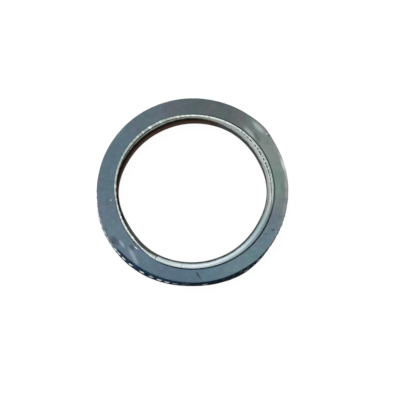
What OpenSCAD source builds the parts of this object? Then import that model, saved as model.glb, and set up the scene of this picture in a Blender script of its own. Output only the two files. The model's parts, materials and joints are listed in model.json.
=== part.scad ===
// Exhaust gasket: a pressed ring of knitted wire and graphite on a rolled steel sleeve

/* [Gasket] */
// Clear diameter of the bore, at the throat of the sleeve
bore_d = 45.5; // [38:0.5:60]
// Width of the flat face, from the crevice beside the lip to the outer wall
land_w = 4.5; // [3.4:0.1:9]
// Thickness of the pressed ring, from flat face to flat face
ring_h = 5; // [4.6:0.1:8]
// Rounding of the ring's outer edges
edge_round = 0.4; // [0.2:0.05:0.8]

/* [Sleeve] */
// Thickness of the sleeve's sheet
sheet_t = 0.5; // [0.3:0.05:0.8]
// Radius of the rolled lip, on its visible side
lip_round = 2; // [1.4:0.1:2.2]
// Width of the flat rim outside the rolled lip
lip_flat = 0.3; // [0.2:0.05:0.6]
// How far each lip stands above the flat face
lip_rise = 0.25; // [0.1:0.05:0.6]
// Angle at which the wide part of the upper lip starts
wide_lip_start = 240; // [200:5:260]
// Angle over which the upper lip keeps its full width
wide_lip_sweep = 118; // [60:2:150]
// How much narrower the upper lip is along the rest of the bore
lip_setback = 1.1; // [0.8:0.05:1.3]

/* [Fit] */
// Gap all round between the sleeve's channel and the nose of the ring inside it
seat_gap = 0.2; // [0.1:0.02:0.3]
// Width of the open crevice between the lip and the flat face
crevice_w = 0.25; // [0.15:0.05:0.5]

/* [Knit] */
// Diameter of the pressed wire
wire_d = 0.45; // [0.3:0.05:0.6]
// How deep the crown of a loop is pressed into the outer wall
wall_sink = 0.2; // [0.1:0.05:0.25]
// Spacing of the loops round the outer wall
wall_pitch = 2.8; // [2.6:0.1:4]
// Number of rows of loops on the outer wall
wall_rows = 3; // [2:1:3]
// Radius to which a loop of the outer wall is bent
wall_arch_r = 1; // [0.8:0.1:1.2]
// Lean of the loops on the outer wall, away from level
wall_lean = 35; // [20:5:45]
// Spacing of the loops beside the lip
bead_pitch = 1.7; // [1.6:0.1:2.6]
// How deep the crown of a loop beside the lip is pressed into the ring's shelf
bead_sink = 0.05; // [0.05:0.05:0.2]
// Radius to which a loop beside the lip is bent
bead_arch_r = 0.5; // [0.4:0.05:0.6]
// Turn of the loops beside the lip, away from the line that they follow
bead_lean = 30; // [20:5:35]

/* [Hidden] */
$fn = 96;
wire_fn = 16;
// Overlap that keeps a cutting face clear of the face it cuts
cut = 0.01;

bore_r = bore_d / 2;
sleeve_h = ring_h + 2 * lip_rise;
ring_bottom = lip_rise;
ring_top = ring_bottom + ring_h;

// The lip's rim, and the flat face that starts across the crevice
lip_edge_r = bore_r + lip_round + lip_flat;
face_r = lip_edge_r + crevice_w;
short_lip_r = lip_edge_r - lip_setback;
wall_r = face_r + land_w;

// The channel of the sleeve, and the nose of the ring that lies in it up to its shelves
channel_r = bore_r + sheet_t;
channel_round = lip_round - sheet_t;
nose_r = channel_r + seat_gap;
nose_round = channel_round - seat_gap;
shelf_low = sheet_t + seat_gap;
shelf_high = sleeve_h - sheet_t - seat_gap;

// A block of the section whose two inner corners are rounded
module bullnose(inner_r, back_r, low, high, round) {
    intersection() {
        translate([inner_r, low])
            square([back_r - inner_r, high - low]);
        union() {
            translate([inner_r + round, low])
                square([back_r - inner_r, high - low]);
            translate([inner_r, low + round])
                square([back_r - inner_r, high - low - 2 * round]);
            for (z = [low + round, high - round])
                translate([inner_r + round, z])
                    circle(round);
        }
    }
}

// Section of the ring: the flat-faced land and the nose under the sleeve
module ring_section() {
    translate([face_r, ring_bottom])
        square([wall_r - face_r - edge_round, ring_h]);
    translate([face_r, ring_bottom + edge_round])
        square([wall_r - face_r, ring_h - 2 * edge_round]);
    for (z = [ring_bottom + edge_round, ring_top - edge_round])
        translate([wall_r - edge_round, z])
            circle(edge_round);
    bullnose(nose_r, face_r + cut, shelf_low, shelf_high, nose_round);
}

// Section of the sleeve: a channel that is open towards the ring
module sleeve_section() {
    difference() {
        bullnose(bore_r, lip_edge_r, 0, sleeve_h, lip_round);
        bullnose(channel_r, lip_edge_r + cut, sheet_t, sleeve_h - sheet_t, channel_round);
    }
}

// A ring of wire that stands on edge and is buried to its middle, so that it shows as an arch
module wire_arch(arch_r) {
    rotate_extrude()
        translate([arch_r, 0])
            circle(d = wire_d, $fn = wire_fn);
}

// Rows of loops on the outer wall, leaning one way and the other like the two legs of a stitch
module wall_knit() {
    row_h = (ring_h - 2 * edge_round) / wall_rows;
    wall_loops = floor(2 * PI * wall_r / wall_pitch);
    step_a = 360 / wall_loops;
    arch_x = wall_r + wire_d / 2 - wall_sink - wall_arch_r;
    for (row = [0 : wall_rows - 1])
        for (i = [0 : wall_loops - 1])
            rotate([0, 0, (i + row / 2) * step_a])
                translate([arch_x, 0, ring_bottom + edge_round + (row + 0.5) * row_h])
                    rotate([row % 2 == 0 ? wall_lean : -wall_lean, 0, 0])
                        wire_arch(wall_arch_r);
}

// The row of loops that comes through beside the narrow part of the upper lip
module bead_row() {
    row_r = (short_lip_r + face_r) / 2;
    arch_z = shelf_high + wire_d / 2 - bead_sink - bead_arch_r;
    span = 360 - wide_lip_sweep;
    count = floor(span / 360 * 2 * PI * row_r / bead_pitch);
    for (i = [0 : count - 1])
        rotate([0, 0, wide_lip_start - (i + 0.5) * span / count])
            translate([row_r, 0, arch_z])
                rotate([0, 0, i % 2 == 0 ? bead_lean : -bead_lean])
                    rotate([0, 90, 0])
                        wire_arch(bead_arch_r);
}

module mesh_ring() {
    color([0.40, 0.47, 0.50]) {
        rotate_extrude()
            ring_section();
        wall_knit();
        bead_row();
    }
}

module inner_sleeve() {
    color([0.75, 0.80, 0.81])
        difference() {
            // The turn's own seam lies in the middle of the wide lip, clear of the cut
            rotate([0, 0, wide_lip_start + wide_lip_sweep / 2])
                rotate_extrude()
                    sleeve_section();
            rotate([0, 0, wide_lip_start + wide_lip_sweep])
                rotate_extrude(angle = 360 - wide_lip_sweep)
                    translate([short_lip_r, sleeve_h - lip_round])
                        square([lip_setback + cut, lip_round + cut]);
        }
}

mesh_ring();
inner_sleeve();
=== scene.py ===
import json
import logging
import math
import random
from dataclasses import dataclass
from enum import Enum
from functools import lru_cache
from typing import Callable, Dict, List, Optional, Sequence, Tuple

import bmesh
import bpy
from mathutils import Matrix, Vector, noise

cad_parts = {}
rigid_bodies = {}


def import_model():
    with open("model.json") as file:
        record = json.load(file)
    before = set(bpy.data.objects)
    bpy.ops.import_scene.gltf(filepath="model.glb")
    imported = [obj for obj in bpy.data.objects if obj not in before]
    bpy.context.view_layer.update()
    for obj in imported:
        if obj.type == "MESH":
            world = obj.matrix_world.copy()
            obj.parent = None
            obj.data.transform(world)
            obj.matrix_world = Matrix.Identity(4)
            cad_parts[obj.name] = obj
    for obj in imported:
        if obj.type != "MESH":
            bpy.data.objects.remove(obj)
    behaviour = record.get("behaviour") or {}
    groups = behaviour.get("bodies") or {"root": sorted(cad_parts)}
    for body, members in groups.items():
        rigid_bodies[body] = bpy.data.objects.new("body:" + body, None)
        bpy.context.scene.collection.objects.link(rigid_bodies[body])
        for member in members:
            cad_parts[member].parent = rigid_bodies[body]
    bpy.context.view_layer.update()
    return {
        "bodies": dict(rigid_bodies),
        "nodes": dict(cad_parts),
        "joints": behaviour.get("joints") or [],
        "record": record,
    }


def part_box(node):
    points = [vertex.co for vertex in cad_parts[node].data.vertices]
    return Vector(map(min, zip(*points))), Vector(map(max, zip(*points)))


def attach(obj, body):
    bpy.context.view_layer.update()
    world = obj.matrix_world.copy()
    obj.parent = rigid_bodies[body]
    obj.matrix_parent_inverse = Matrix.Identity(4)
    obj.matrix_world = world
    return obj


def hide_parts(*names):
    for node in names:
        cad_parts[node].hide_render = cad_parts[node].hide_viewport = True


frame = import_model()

LOG = logging.getLogger("exhaust_gasket")
MM = 0.001
# A place with its value, or the two ends of a range
Pair = Tuple[float, float]
Colour = Tuple[float, float, float]
# Start, end and softness of a sector round the ring, in degrees
Sector = Tuple[float, float, float]
# A tone, and how bare the metal is there, from 0 to 1
Skin = Tuple[Colour, float]


@lru_cache(maxsize=None)
def linear(hex_colour: str) -> Colour:
    """Turns an sRGB hex colour into linear light.

    Args:
        hex_colour: Six hex digits after a hash sign.

    Returns:
        The red, green and blue shares in linear light.
    """
    parts = [int(hex_colour[i:i + 2], 16) / 255 for i in (1, 3, 5)]
    return tuple(c / 12.92 if c <= 0.04045 else ((c + 0.055) / 1.055) ** 2.4 for c in parts)


def held(share: float) -> float:
    """Holds a share to the range from 0 to 1."""
    return min(1.0, max(0.0, share))


def blend(first: Colour, second: Colour, share: float) -> Colour:
    """Mixes two colours.

    Args:
        first: Colour at a share of 0.
        second: Colour at a share of 1.
        share: Share of the second colour, held to 0 to 1.

    Returns:
        The mixed colour.
    """
    share = held(share)
    return tuple(a + (b - a) * share for a, b in zip(first, second))


def rise(low: float, high: float, value: float) -> float:
    """Climbs smoothly from 0 to 1 while a value passes from one limit to the other.

    Args:
        low: Value at which the climb starts.
        high: Value at which it ends.
        value: Value to place on the climb.

    Returns:
        A share from 0 to 1.
    """
    t = held((value - low) / (high - low))
    return t * t * (3 - 2 * t)


def sector(angle: float, start: float, end: float, soft: float) -> float:
    """Tells how far an angle lies inside a sector with soft ends.

    Args:
        angle: Angle in degrees.
        start: Angle at which the sector starts, going anticlockwise.
        end: Angle at which it ends.
        soft: Degrees over which each end fades.

    Returns:
        1 inside the sector, 0 outside it and a share between the two at its ends.
    """
    span = (end - start) % 360
    inside = (angle - start) % 360
    if inside > span:
        gap = min(inside - span, 360 - inside)
        return 1 - rise(0, soft / 2, gap) if gap < soft / 2 else 0.0
    return rise(-soft / 2, soft / 2, min(inside, span - inside))


def bearing(place: Vector) -> float:
    """Gives a point's angle round the axis of the bore, in degrees from 0 to 360."""
    return math.degrees(math.atan2(place.y, place.x)) % 360


def turn_between(first: float, second: float) -> float:
    """Gives the turn between two angles the short way round, in degrees."""
    return abs((first - second + 180) % 360 - 180)


def wander(place: Vector, size_mm: float, shift: Sequence[float] = (0, 0, 0)) -> float:
    """Gives a value from about -1 to 1 that wanders over the object.

    Args:
        place: Point of the object, in metres.
        size_mm: Size of the patches of like value.
        shift: Moves the pattern, so that it differs from another of its size.

    Returns:
        The value there.
    """
    per_metre = 1 / (size_mm * MM)
    return noise.noise(place * per_metre + Vector(shift))


def ripple(angle: float, per_degree: float, shift: Pair) -> float:
    """Gives a value from about -1 to 1 that wanders round the ring.

    Args:
        angle: Angle in degrees.
        per_degree: Number of its waves to a degree.
        shift: Moves the pattern, so that it differs from the others.

    Returns:
        The value there.
    """
    return noise.noise(Vector((angle * per_degree, *shift)))


class RingCurve:
    """A value that changes smoothly round the ring, drawn through a few keys."""

    # Number of places round the ring at which a curve is worked out
    STEPS = 720

    def __init__(self, *keys: Pair) -> None:
        """Draws the curve.

        Args:
            keys: Pairs of an angle in degrees and a value, in rising order of angle.
        """
        self.table = [self.drawn(keys, i * 360 / self.STEPS) for i in range(self.STEPS)]

    @staticmethod
    def drawn(keys: Sequence[Pair], angle: float) -> float:
        """Works out the curve at one angle.

        Args:
            keys: Pairs of an angle and a value.
            angle: Angle from 0 to 360 degrees.

        Returns:
            The value there.
        """
        count = len(keys)
        first = max((k for k, key in enumerate(keys) if key[0] <= angle), default=-1)
        near = [(keys[k % count][0] + 360 * (k // count), keys[k % count][1])
                for k in range(first - 1, first + 3)]
        (a0, v0), (a1, v1), (a2, v2), (a3, v3) = near
        t = (angle - a1) / (a2 - a1)
        leave = (v2 - v0) / (a2 - a0) * (a2 - a1)
        reach = (v3 - v1) / (a3 - a1) * (a2 - a1)
        turn = t * t * (3 - 2 * t)
        return v1 + (v2 - v1) * turn + leave * t * (1 - t) ** 2 - reach * t * t * (1 - t)

    def at(self, angle: float) -> float:
        """Reads the curve.

        Args:
            angle: Angle in degrees.

        Returns:
            The value there.
        """
        place = (angle % 360) * self.STEPS / 360
        low = int(place)
        first, second = self.table[low % self.STEPS], self.table[(low + 1) % self.STEPS]
        return first + (second - first) * (place - low)


class RingTones:
    """A colour that drifts round the ring."""

    def __init__(self, *keys: Tuple[float, str]) -> None:
        """Draws the three bands of the colour.

        Args:
            keys: Pairs of an angle in degrees and an sRGB hex colour, in rising order of angle.
        """
        self.bands = [RingCurve(*((angle, linear(tone)[band]) for angle, tone in keys))
                      for band in range(3)]

    def at(self, angle: float) -> Colour:
        """Reads the colour at an angle in degrees."""
        return tuple(band.at(angle) for band in self.bands)


def add_object(name: str, data: bpy.types.ID) -> bpy.types.Object:
    """Puts a new object into the scene, at the origin.

    Args:
        name: Name of the object.
        data: Its mesh, lamp or camera.

    Returns:
        The object.
    """
    made = bpy.data.objects.new(name, data)
    bpy.context.scene.collection.objects.link(made)
    return made


def add_node(tree: bpy.types.NodeTree, kind: str, settings: Optional[Dict[str, object]] = None,
             links: Optional[Dict[object, bpy.types.NodeSocket]] = None) -> bpy.types.Node:
    """Adds one node with its settings and links.

    Args:
        tree: Node tree that the node goes into.
        kind: Blender's type name of the node, without the ShaderNode at its start.
        settings: Properties by name, and values of input sockets by "in:" and their name or number.
        links: Output sockets by the name or number of the input that each one feeds.

    Returns:
        The new node.
    """
    node = tree.nodes.new("ShaderNode" + kind)
    for name, value in (settings or {}).items():
        if name.startswith("in:"):
            key = name[3:]
            node.inputs[int(key) if key.isdigit() else key].default_value = value
        else:
            setattr(node, name, value)
    for name, socket in (links or {}).items():
        tree.links.new(socket, node.inputs[name])
    return node


class Zone(Enum):
    """Places on the gasket that are painted in their own way."""

    FACE = "face"
    WALL = "wall"
    GROOVE = "groove"


@dataclass(frozen=True)
class GasketSizes:
    """Sizes of the gasket in metres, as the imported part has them."""

    bore_r: float
    throat_high: float
    ring_low: float
    ring_top: float
    sleeve_h: float
    lip_edge_r: float
    outer_r: float
    # The rest isn't in the frame, and is as the part's source has it
    sheet: float = 0.5 * MM
    lip_flat: float = 0.3 * MM
    lip_setback: float = 1.1 * MM
    seat_gap: float = 0.2 * MM
    crevice: float = 0.25 * MM
    wire_rise: float = 0.25 * MM
    wire_d: float = 0.45 * MM
    edge_round: float = 0.4 * MM
    wide_start: float = 240.0
    wide_end: float = 358.0

    @classmethod
    def from_frame(cls, packed: Dict[str, object]) -> "GasketSizes":
        """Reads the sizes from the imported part.

        Args:
            packed: What the frame gives, with the record in it.

        Returns:
            The sizes.
        """
        mounts = {m["name"]: m for m in packed["record"]["mounts"]}
        bore = mounts["bore"]
        sleeve_low, sleeve_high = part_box("inner_sleeve")
        return cls(
            bore_r=bore["dims"]["r_mm"] * MM,
            throat_high=bore["pos_m"][2] + bore["dims"]["length_mm"] / 2 * MM,
            ring_low=mounts["lower_face"]["pos_m"][2],
            ring_top=mounts["upper_face"]["pos_m"][2],
            sleeve_h=sleeve_high.z - sleeve_low.z,
            lip_edge_r=sleeve_high.x,
            outer_r=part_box("mesh_ring")[1].x,
        )

    @property
    def lip_round(self) -> float:
        """Radius of the rolled lip on its visible side."""
        return self.sleeve_h - self.throat_high

    @property
    def lip_curve(self) -> float:
        """Length of the lip's curve, which is a quarter of a turn."""
        return self.lip_round * math.pi / 2

    @property
    def face_r(self) -> float:
        """Radius at which the flat face starts."""
        return self.lip_edge_r + self.crevice

    @property
    def wall_r(self) -> float:
        """Radius of the outer wall under its wire loops."""
        return self.outer_r - self.wire_rise

    @property
    def short_lip_r(self) -> float:
        """Radius of the narrow part of the upper lip."""
        return self.lip_edge_r - self.lip_setback

    @property
    def shelf(self) -> float:
        """Height of the ring's shelf under the upper lip."""
        return self.sleeve_h - self.sheet - self.seat_gap

    @property
    def centre_r(self) -> float:
        """Radius at which the curve of each lip has its centre."""
        return self.bore_r + self.lip_round


@dataclass(frozen=True)
class OffRound:
    """How far the real gasket's edges stray outward from true circles, in millimetres."""

    # Upper edge of the outer wall
    wall_top: RingCurve = RingCurve(
        (0, -0.2), (30, 0.05), (41, 0.65), (52, 0.5), (75, 0.38), (90, 0.36), (120, 0.2), (150, -0.1),
        (180, -0.25), (205, -0.2), (225, -0.4), (240, -0.5), (270, -0.45), (300, -0.35), (315, -0.15),
        (330, -0.2), (345, -0.25),
    )
    # Lower edge of the outer wall
    wall_low: RingCurve = RingCurve(
        (0, -0.3), (45, 0.1), (90, 0.1), (150, -0.1), (180, -0.1), (198, 0.6), (215, 0.5), (228, 0.5),
        (242, 0.35), (255, 0.05), (270, -0.2), (285, 0.0), (301, 0.35), (312, 0.1), (325, -0.3),
        (345, -0.25),
    )
    # Inner edge of the flat face
    face_edge: RingCurve = RingCurve(
        (0, 0.2), (30, 0.0), (60, -0.35), (90, -0.75), (120, -0.6), (150, -0.7), (175, -1.0),
        (195, -1.35), (212, -1.0), (232, -0.65), (243, -0.2), (255, 0.05), (270, 0.1), (300, 0.2),
        (330, 0.2),
    )
    # Outer edge of the narrow lip
    lip_edge: RingCurve = RingCurve(
        (0, -0.05), (30, -0.15), (60, -0.2), (90, -0.2), (150, -0.25), (178, -0.4), (196, -0.6),
        (213, -0.5), (226, -0.1), (239, 0.3), (300, 0.0),
    )
    # Bore of the sleeve
    bore: RingCurve = RingCurve(
        (0, 0.35), (30, 0.1), (60, 0.3), (90, 0.0), (120, -0.35), (150, -0.25), (180, 0.3), (210, -0.3),
        (240, 0.1), (270, 0.0), (300, -0.1), (330, -0.2),
    )

    def wall(self, angle: float, down: float) -> float:
        """Gives the wall's outward shift at an angle, from its upper edge at 0 to its lower edge at 1."""
        down = held(down)
        return self.wall_top.at(angle) * (1 - down) + self.wall_low.at(angle) * down


@dataclass(frozen=True)
class Finish:
    """A finish that takes its colour and bareness from the piece's own attributes.

    Bare metal shows as metal and covered metal as a coat, each with its own roughness.
    """

    name: str
    covered_rough: float
    bare_rough: float
    mottle_mm: float
    mottle_depth: float
    grain_mm: float
    grain_depth: float
    bump: float
    streak: float = 1.0
    sheen_level: float = 0.5
    # Radius at which a pattern has its true length along the rim
    pattern_r: float = 25 * MM
    # Swing given to a noise, which strays only a little from its middle
    swing: float = 5.0
    # How much of a pattern is drawn in each band of colour by itself
    tint: float = 0.55
    # Height of the relief that a pattern stands for
    relief: float = 0.05 * MM
    # Bareness from which a skin has its full sheen
    sheen_bare: float = 0.25

    def polar(self, tree: bpy.types.NodeTree) -> bpy.types.NodeSocket:
        """Lays a coordinate along the rim, across it and up, in metres.

        Args:
            tree: Node tree of the material.

        Returns:
            The vector socket.
        """
        place = add_node(tree, "TexCoord")
        apart = add_node(tree, "SeparateXYZ", links={0: place.outputs["Object"]})
        turn = add_node(tree, "Math", {"operation": "ARCTAN2"},
                        {0: apart.outputs["Y"], 1: apart.outputs["X"]})
        flat = add_node(tree, "CombineXYZ", links={0: apart.outputs["X"], 1: apart.outputs["Y"]})
        out = add_node(tree, "VectorMath", {"operation": "LENGTH"}, {0: flat.outputs[0]})
        along = add_node(tree, "Math", {"operation": "MULTIPLY", "in:1": self.pattern_r / self.streak},
                         {0: turn.outputs[0]})
        vector = add_node(tree, "CombineXYZ",
                          links={0: along.outputs[0], 1: out.outputs["Value"], 2: apart.outputs["Z"]})
        return vector.outputs[0]

    def cloud(self, tree: bpy.types.NodeTree, place: bpy.types.NodeSocket, size_mm: float,
              depth: float) -> bpy.types.NodeSocket:
        """Makes a soft colour factor near 1 that wanders over the surface, a little apart in each band.

        Args:
            tree: Node tree of the material.
            place: Coordinate in metres.
            size_mm: Size of the patches.
            depth: How far the factor strays from 1.

        Returns:
            The factor's socket.
        """
        patches = add_node(tree, "TexNoise",
                           {"in:Scale": 1 / (size_mm * MM), "in:Detail": 3.0, "in:Roughness": 0.55},
                           {"Vector": place})
        mixed = add_node(tree, "Mix", {"data_type": "RGBA", "in:Factor": self.tint},
                         {6: patches.outputs["Fac"], 7: patches.outputs["Color"]})
        swing = self.swing * depth
        spread = add_node(tree, "VectorMath",
                          {"operation": "MULTIPLY_ADD", "in:1": (swing,) * 3, "in:2": (1 - swing / 2,) * 3},
                          {0: mixed.outputs[2]})
        return spread.outputs[0]

    def marked(self, tree: bpy.types.NodeTree, colour: bpy.types.NodeSocket) -> bpy.types.NodeSocket:
        """Lays any marks of the surface over its colour."""
        return colour

    def material(self) -> bpy.types.Material:
        """Builds the material.

        Returns:
            The material, ready to be put on a piece.
        """
        made = bpy.data.materials.new(self.name)
        made.use_nodes = True
        tree = made.node_tree
        shader = tree.nodes["Principled BSDF"]
        place = self.polar(tree)
        tone = add_node(tree, "Attribute", {"attribute_name": "tone"})
        bare = add_node(tree, "Attribute", {"attribute_name": "bare"})
        mottle = self.cloud(tree, place, self.mottle_mm, self.mottle_depth)
        grain = self.cloud(tree, place, self.grain_mm, self.grain_depth)
        both = add_node(tree, "VectorMath", {"operation": "MULTIPLY"}, {0: mottle, 1: grain})
        colour = add_node(tree, "VectorMath", {"operation": "MULTIPLY"},
                          {0: tone.outputs["Color"], 1: both.outputs[0]})
        rough = add_node(tree, "MapRange",
                         {"in:To Min": self.covered_rough, "in:To Max": self.bare_rough},
                         {"Value": bare.outputs["Fac"]})
        relief = add_node(tree, "Bump", {"in:Strength": self.bump, "in:Distance": self.relief},
                          {"Height": both.outputs[0]})
        sheen = add_node(tree, "MapRange", {"in:From Max": self.sheen_bare, "in:To Max": self.sheen_level},
                         {"Value": bare.outputs["Fac"]})
        tree.links.new(self.marked(tree, colour.outputs[0]), shader.inputs["Base Color"])
        tree.links.new(bare.outputs["Fac"], shader.inputs["Metallic"])
        tree.links.new(rough.outputs["Result"], shader.inputs["Roughness"])
        tree.links.new(sheen.outputs["Result"], shader.inputs["Specular IOR Level"])
        tree.links.new(relief.outputs["Normal"], shader.inputs["Normal"])
        return made


@dataclass(frozen=True)
class FaceMark:
    """A stain, fleck, slit or painted highlight on the flat face, as an oval with soft edges.

    Attributes:
        x: Place of its middle to the right of the axis of the bore, in millimetres.
        y: Place of its middle behind the axis of the bore, in millimetres.
        long: Half of its length, in millimetres.
        wide: Half of its width, in millimetres.
        turn: Turn of its length away from the right, in degrees.
        tone: Its colour in sRGB hex.
        strength: Share of that colour at its middle.
    """

    x: float
    y: float
    long: float
    wide: float
    turn: float
    tone: str
    strength: float


@dataclass(frozen=True)
class MarkedFinish(Finish):
    """A finish whose upward surface carries marks at fixed places."""

    # Height from which a surface counts as the upward one
    top_mm: float = 5.1
    marks: Tuple[FaceMark, ...] = ()
    # Shares of a mark's half size at which it is gone and at which it has its full strength
    gone: float = 1.25
    full: float = 0.35

    def marked(self, tree: bpy.types.NodeTree, colour: bpy.types.NodeSocket) -> bpy.types.NodeSocket:
        """Lays the marks over the colour of the surface.

        Args:
            tree: Node tree of the material.
            colour: Colour without the marks.

        Returns:
            The socket of the marked colour.
        """
        place = add_node(tree, "TexCoord").outputs["Object"]
        height = add_node(tree, "SeparateXYZ", links={0: place})
        on_top = add_node(tree, "Math", {"operation": "GREATER_THAN", "in:1": self.top_mm * MM},
                          {0: height.outputs["Z"]})
        for mark in self.marks:
            local = add_node(tree, "Mapping",
                             {"vector_type": "TEXTURE", "in:Location": (mark.x * MM, mark.y * MM, 0),
                              "in:Rotation": (0, 0, math.radians(mark.turn)),
                              "in:Scale": (mark.long * MM, mark.wide * MM, 1)}, {0: place})
            off = add_node(tree, "VectorMath", {"operation": "LENGTH"}, {0: local.outputs[0]})
            share = add_node(tree, "MapRange",
                             {"interpolation_type": "SMOOTHSTEP", "in:From Min": self.gone,
                              "in:From Max": self.full, "in:To Max": mark.strength},
                             {0: off.outputs["Value"]})
            lit = add_node(tree, "Math", {"operation": "MULTIPLY"},
                           {0: share.outputs["Result"], 1: on_top.outputs[0]})
            colour = add_node(tree, "Mix", {"data_type": "RGBA", "in:7": (*linear(mark.tone), 1)},
                              {0: lit.outputs[0], 6: colour}).outputs[2]
        return colour


# Graphite and steel wire pressed in a die: a matt blue-grey skin with a mottle of graphite patches.
# Its flakes are finer than a pixel, so they are drawn 0.5 mm across.
PRESSED_GRAPHITE = MarkedFinish(
    name="pressed graphite",
    covered_rough=0.55,
    bare_rough=0.4,
    mottle_mm=1.8,
    mottle_depth=0.17,
    grain_mm=0.5,
    grain_depth=0.17,
    bump=0.3,
    # Right, back, half length, half width, turn, tone and strength
    marks=(
        FaceMark(20.7, 20.1, 2.9, 0.85, 130, "#AEBBB6", 0.9),
        FaceMark(18.1, 18.2, 3.0, 0.8, 132, "#A6B3AD", 0.9),
        FaceMark(20.1, 16.9, 2.3, 0.8, 121, "#4C5B56", 0.65),
        FaceMark(23.3, 17.95, 0.35, 0.3, 0, "#C8D3CF", 0.75),
        FaceMark(23.95, 17.3, 0.45, 0.3, 0, "#414D4A", 0.8),
        # Pale streaks along the right rim: painted highlights on its rounded edge
        FaceMark(26.3, 12.6, 1.6, 0.55, 115, "#989A9A", 0.6),
        FaceMark(27.2, 11.0, 1.3, 0.4, 112, "#B4BDBA", 0.65),
        FaceMark(28.2, 7.8, 2.5, 0.55, 105, "#E0E9E6", 0.95),
        FaceMark(29.0, 4.65, 2.2, 0.5, 99, "#C6CCCA", 0.8),
        FaceMark(29.0, 1.4, 1.8, 0.5, 93, "#B4B7B6", 0.7),
        FaceMark(29.0, -1.8, 1.8, 0.5, 87, "#A9ABAA", 0.7),
        FaceMark(28.3, -6.25, 2.2, 0.5, 78, "#989EA1", 0.6),
        FaceMark(26.4, 0.2, 3.0, 0.95, 91, "#74998A", 0.65),
        FaceMark(1.94, -27.19, 1.55, 0.2, -52.6, "#18242D", 0.95),
        FaceMark(1.55, -26.7, 0.8, 0.32, -52.6, "#18242D", 0.85),
        FaceMark(24.51, -13.13, 0.5, 0.32, 20, "#2B3940", 0.9),
        FaceMark(22.35, -14.38, 0.5, 0.3, 20, "#3A4B52", 0.8),
        FaceMark(22.76, -16.55, 1.3, 0.75, 60, "#5F82A6", 0.65),
        FaceMark(-23.5, -16.4, 1.9, 1.0, 125, "#3D4963", 0.85),
        FaceMark(-18.5, -18.6, 1.2, 0.9, 130, "#364A54", 0.9),
        FaceMark(-21.3, -17.5, 1.6, 0.5, 125, "#9BB1BF", 0.7),
        FaceMark(-17.8, -21.2, 3.5, 0.7, -62, "#97AEBB", 0.75),
        FaceMark(-17.05, -18.67, 0.8, 0.17, -36, "#E4F0EE", 0.95),
        FaceMark(-25.1, -3.7, 0.4, 0.35, 0, "#A8B8BE", 0.75),
        FaceMark(-20.4, 19.9, 1.8, 1.1, 45, "#48686F", 0.45),
    ),
)
# Knitted steel wire smeared with graphite: bright where it was rubbed in the die, dark elsewhere. On the
# lip's chain of loops and on the pressed rope, the sides that face down carry painted shade as well.
# Its scratches are finer than a pixel, so they are drawn 0.25 mm across.
KNIT_WIRE = Finish(
    name="knitted steel wire",
    covered_rough=0.6,
    bare_rough=0.32,
    mottle_mm=0.8,
    mottle_depth=0.12,
    grain_mm=0.25,
    grain_depth=0.06,
    bump=0.15,
)
# Cold rolled stainless strip: a bright satin lip whose bore side is painted black and brown as shade, with
# a warm painted reflection in the brown.
# Its roll marks are finer than a pixel, so they are drawn 0.3 mm wide, and run along the rim.
ROLLED_STEEL = Finish(
    name="rolled stainless strip",
    covered_rough=0.75,
    bare_rough=0.34,
    mottle_mm=1.4,
    mottle_depth=0.05,
    grain_mm=0.3,
    grain_depth=0.04,
    bump=0.2,
    streak=6.0,
    sheen_level=0.1,
)


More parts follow.
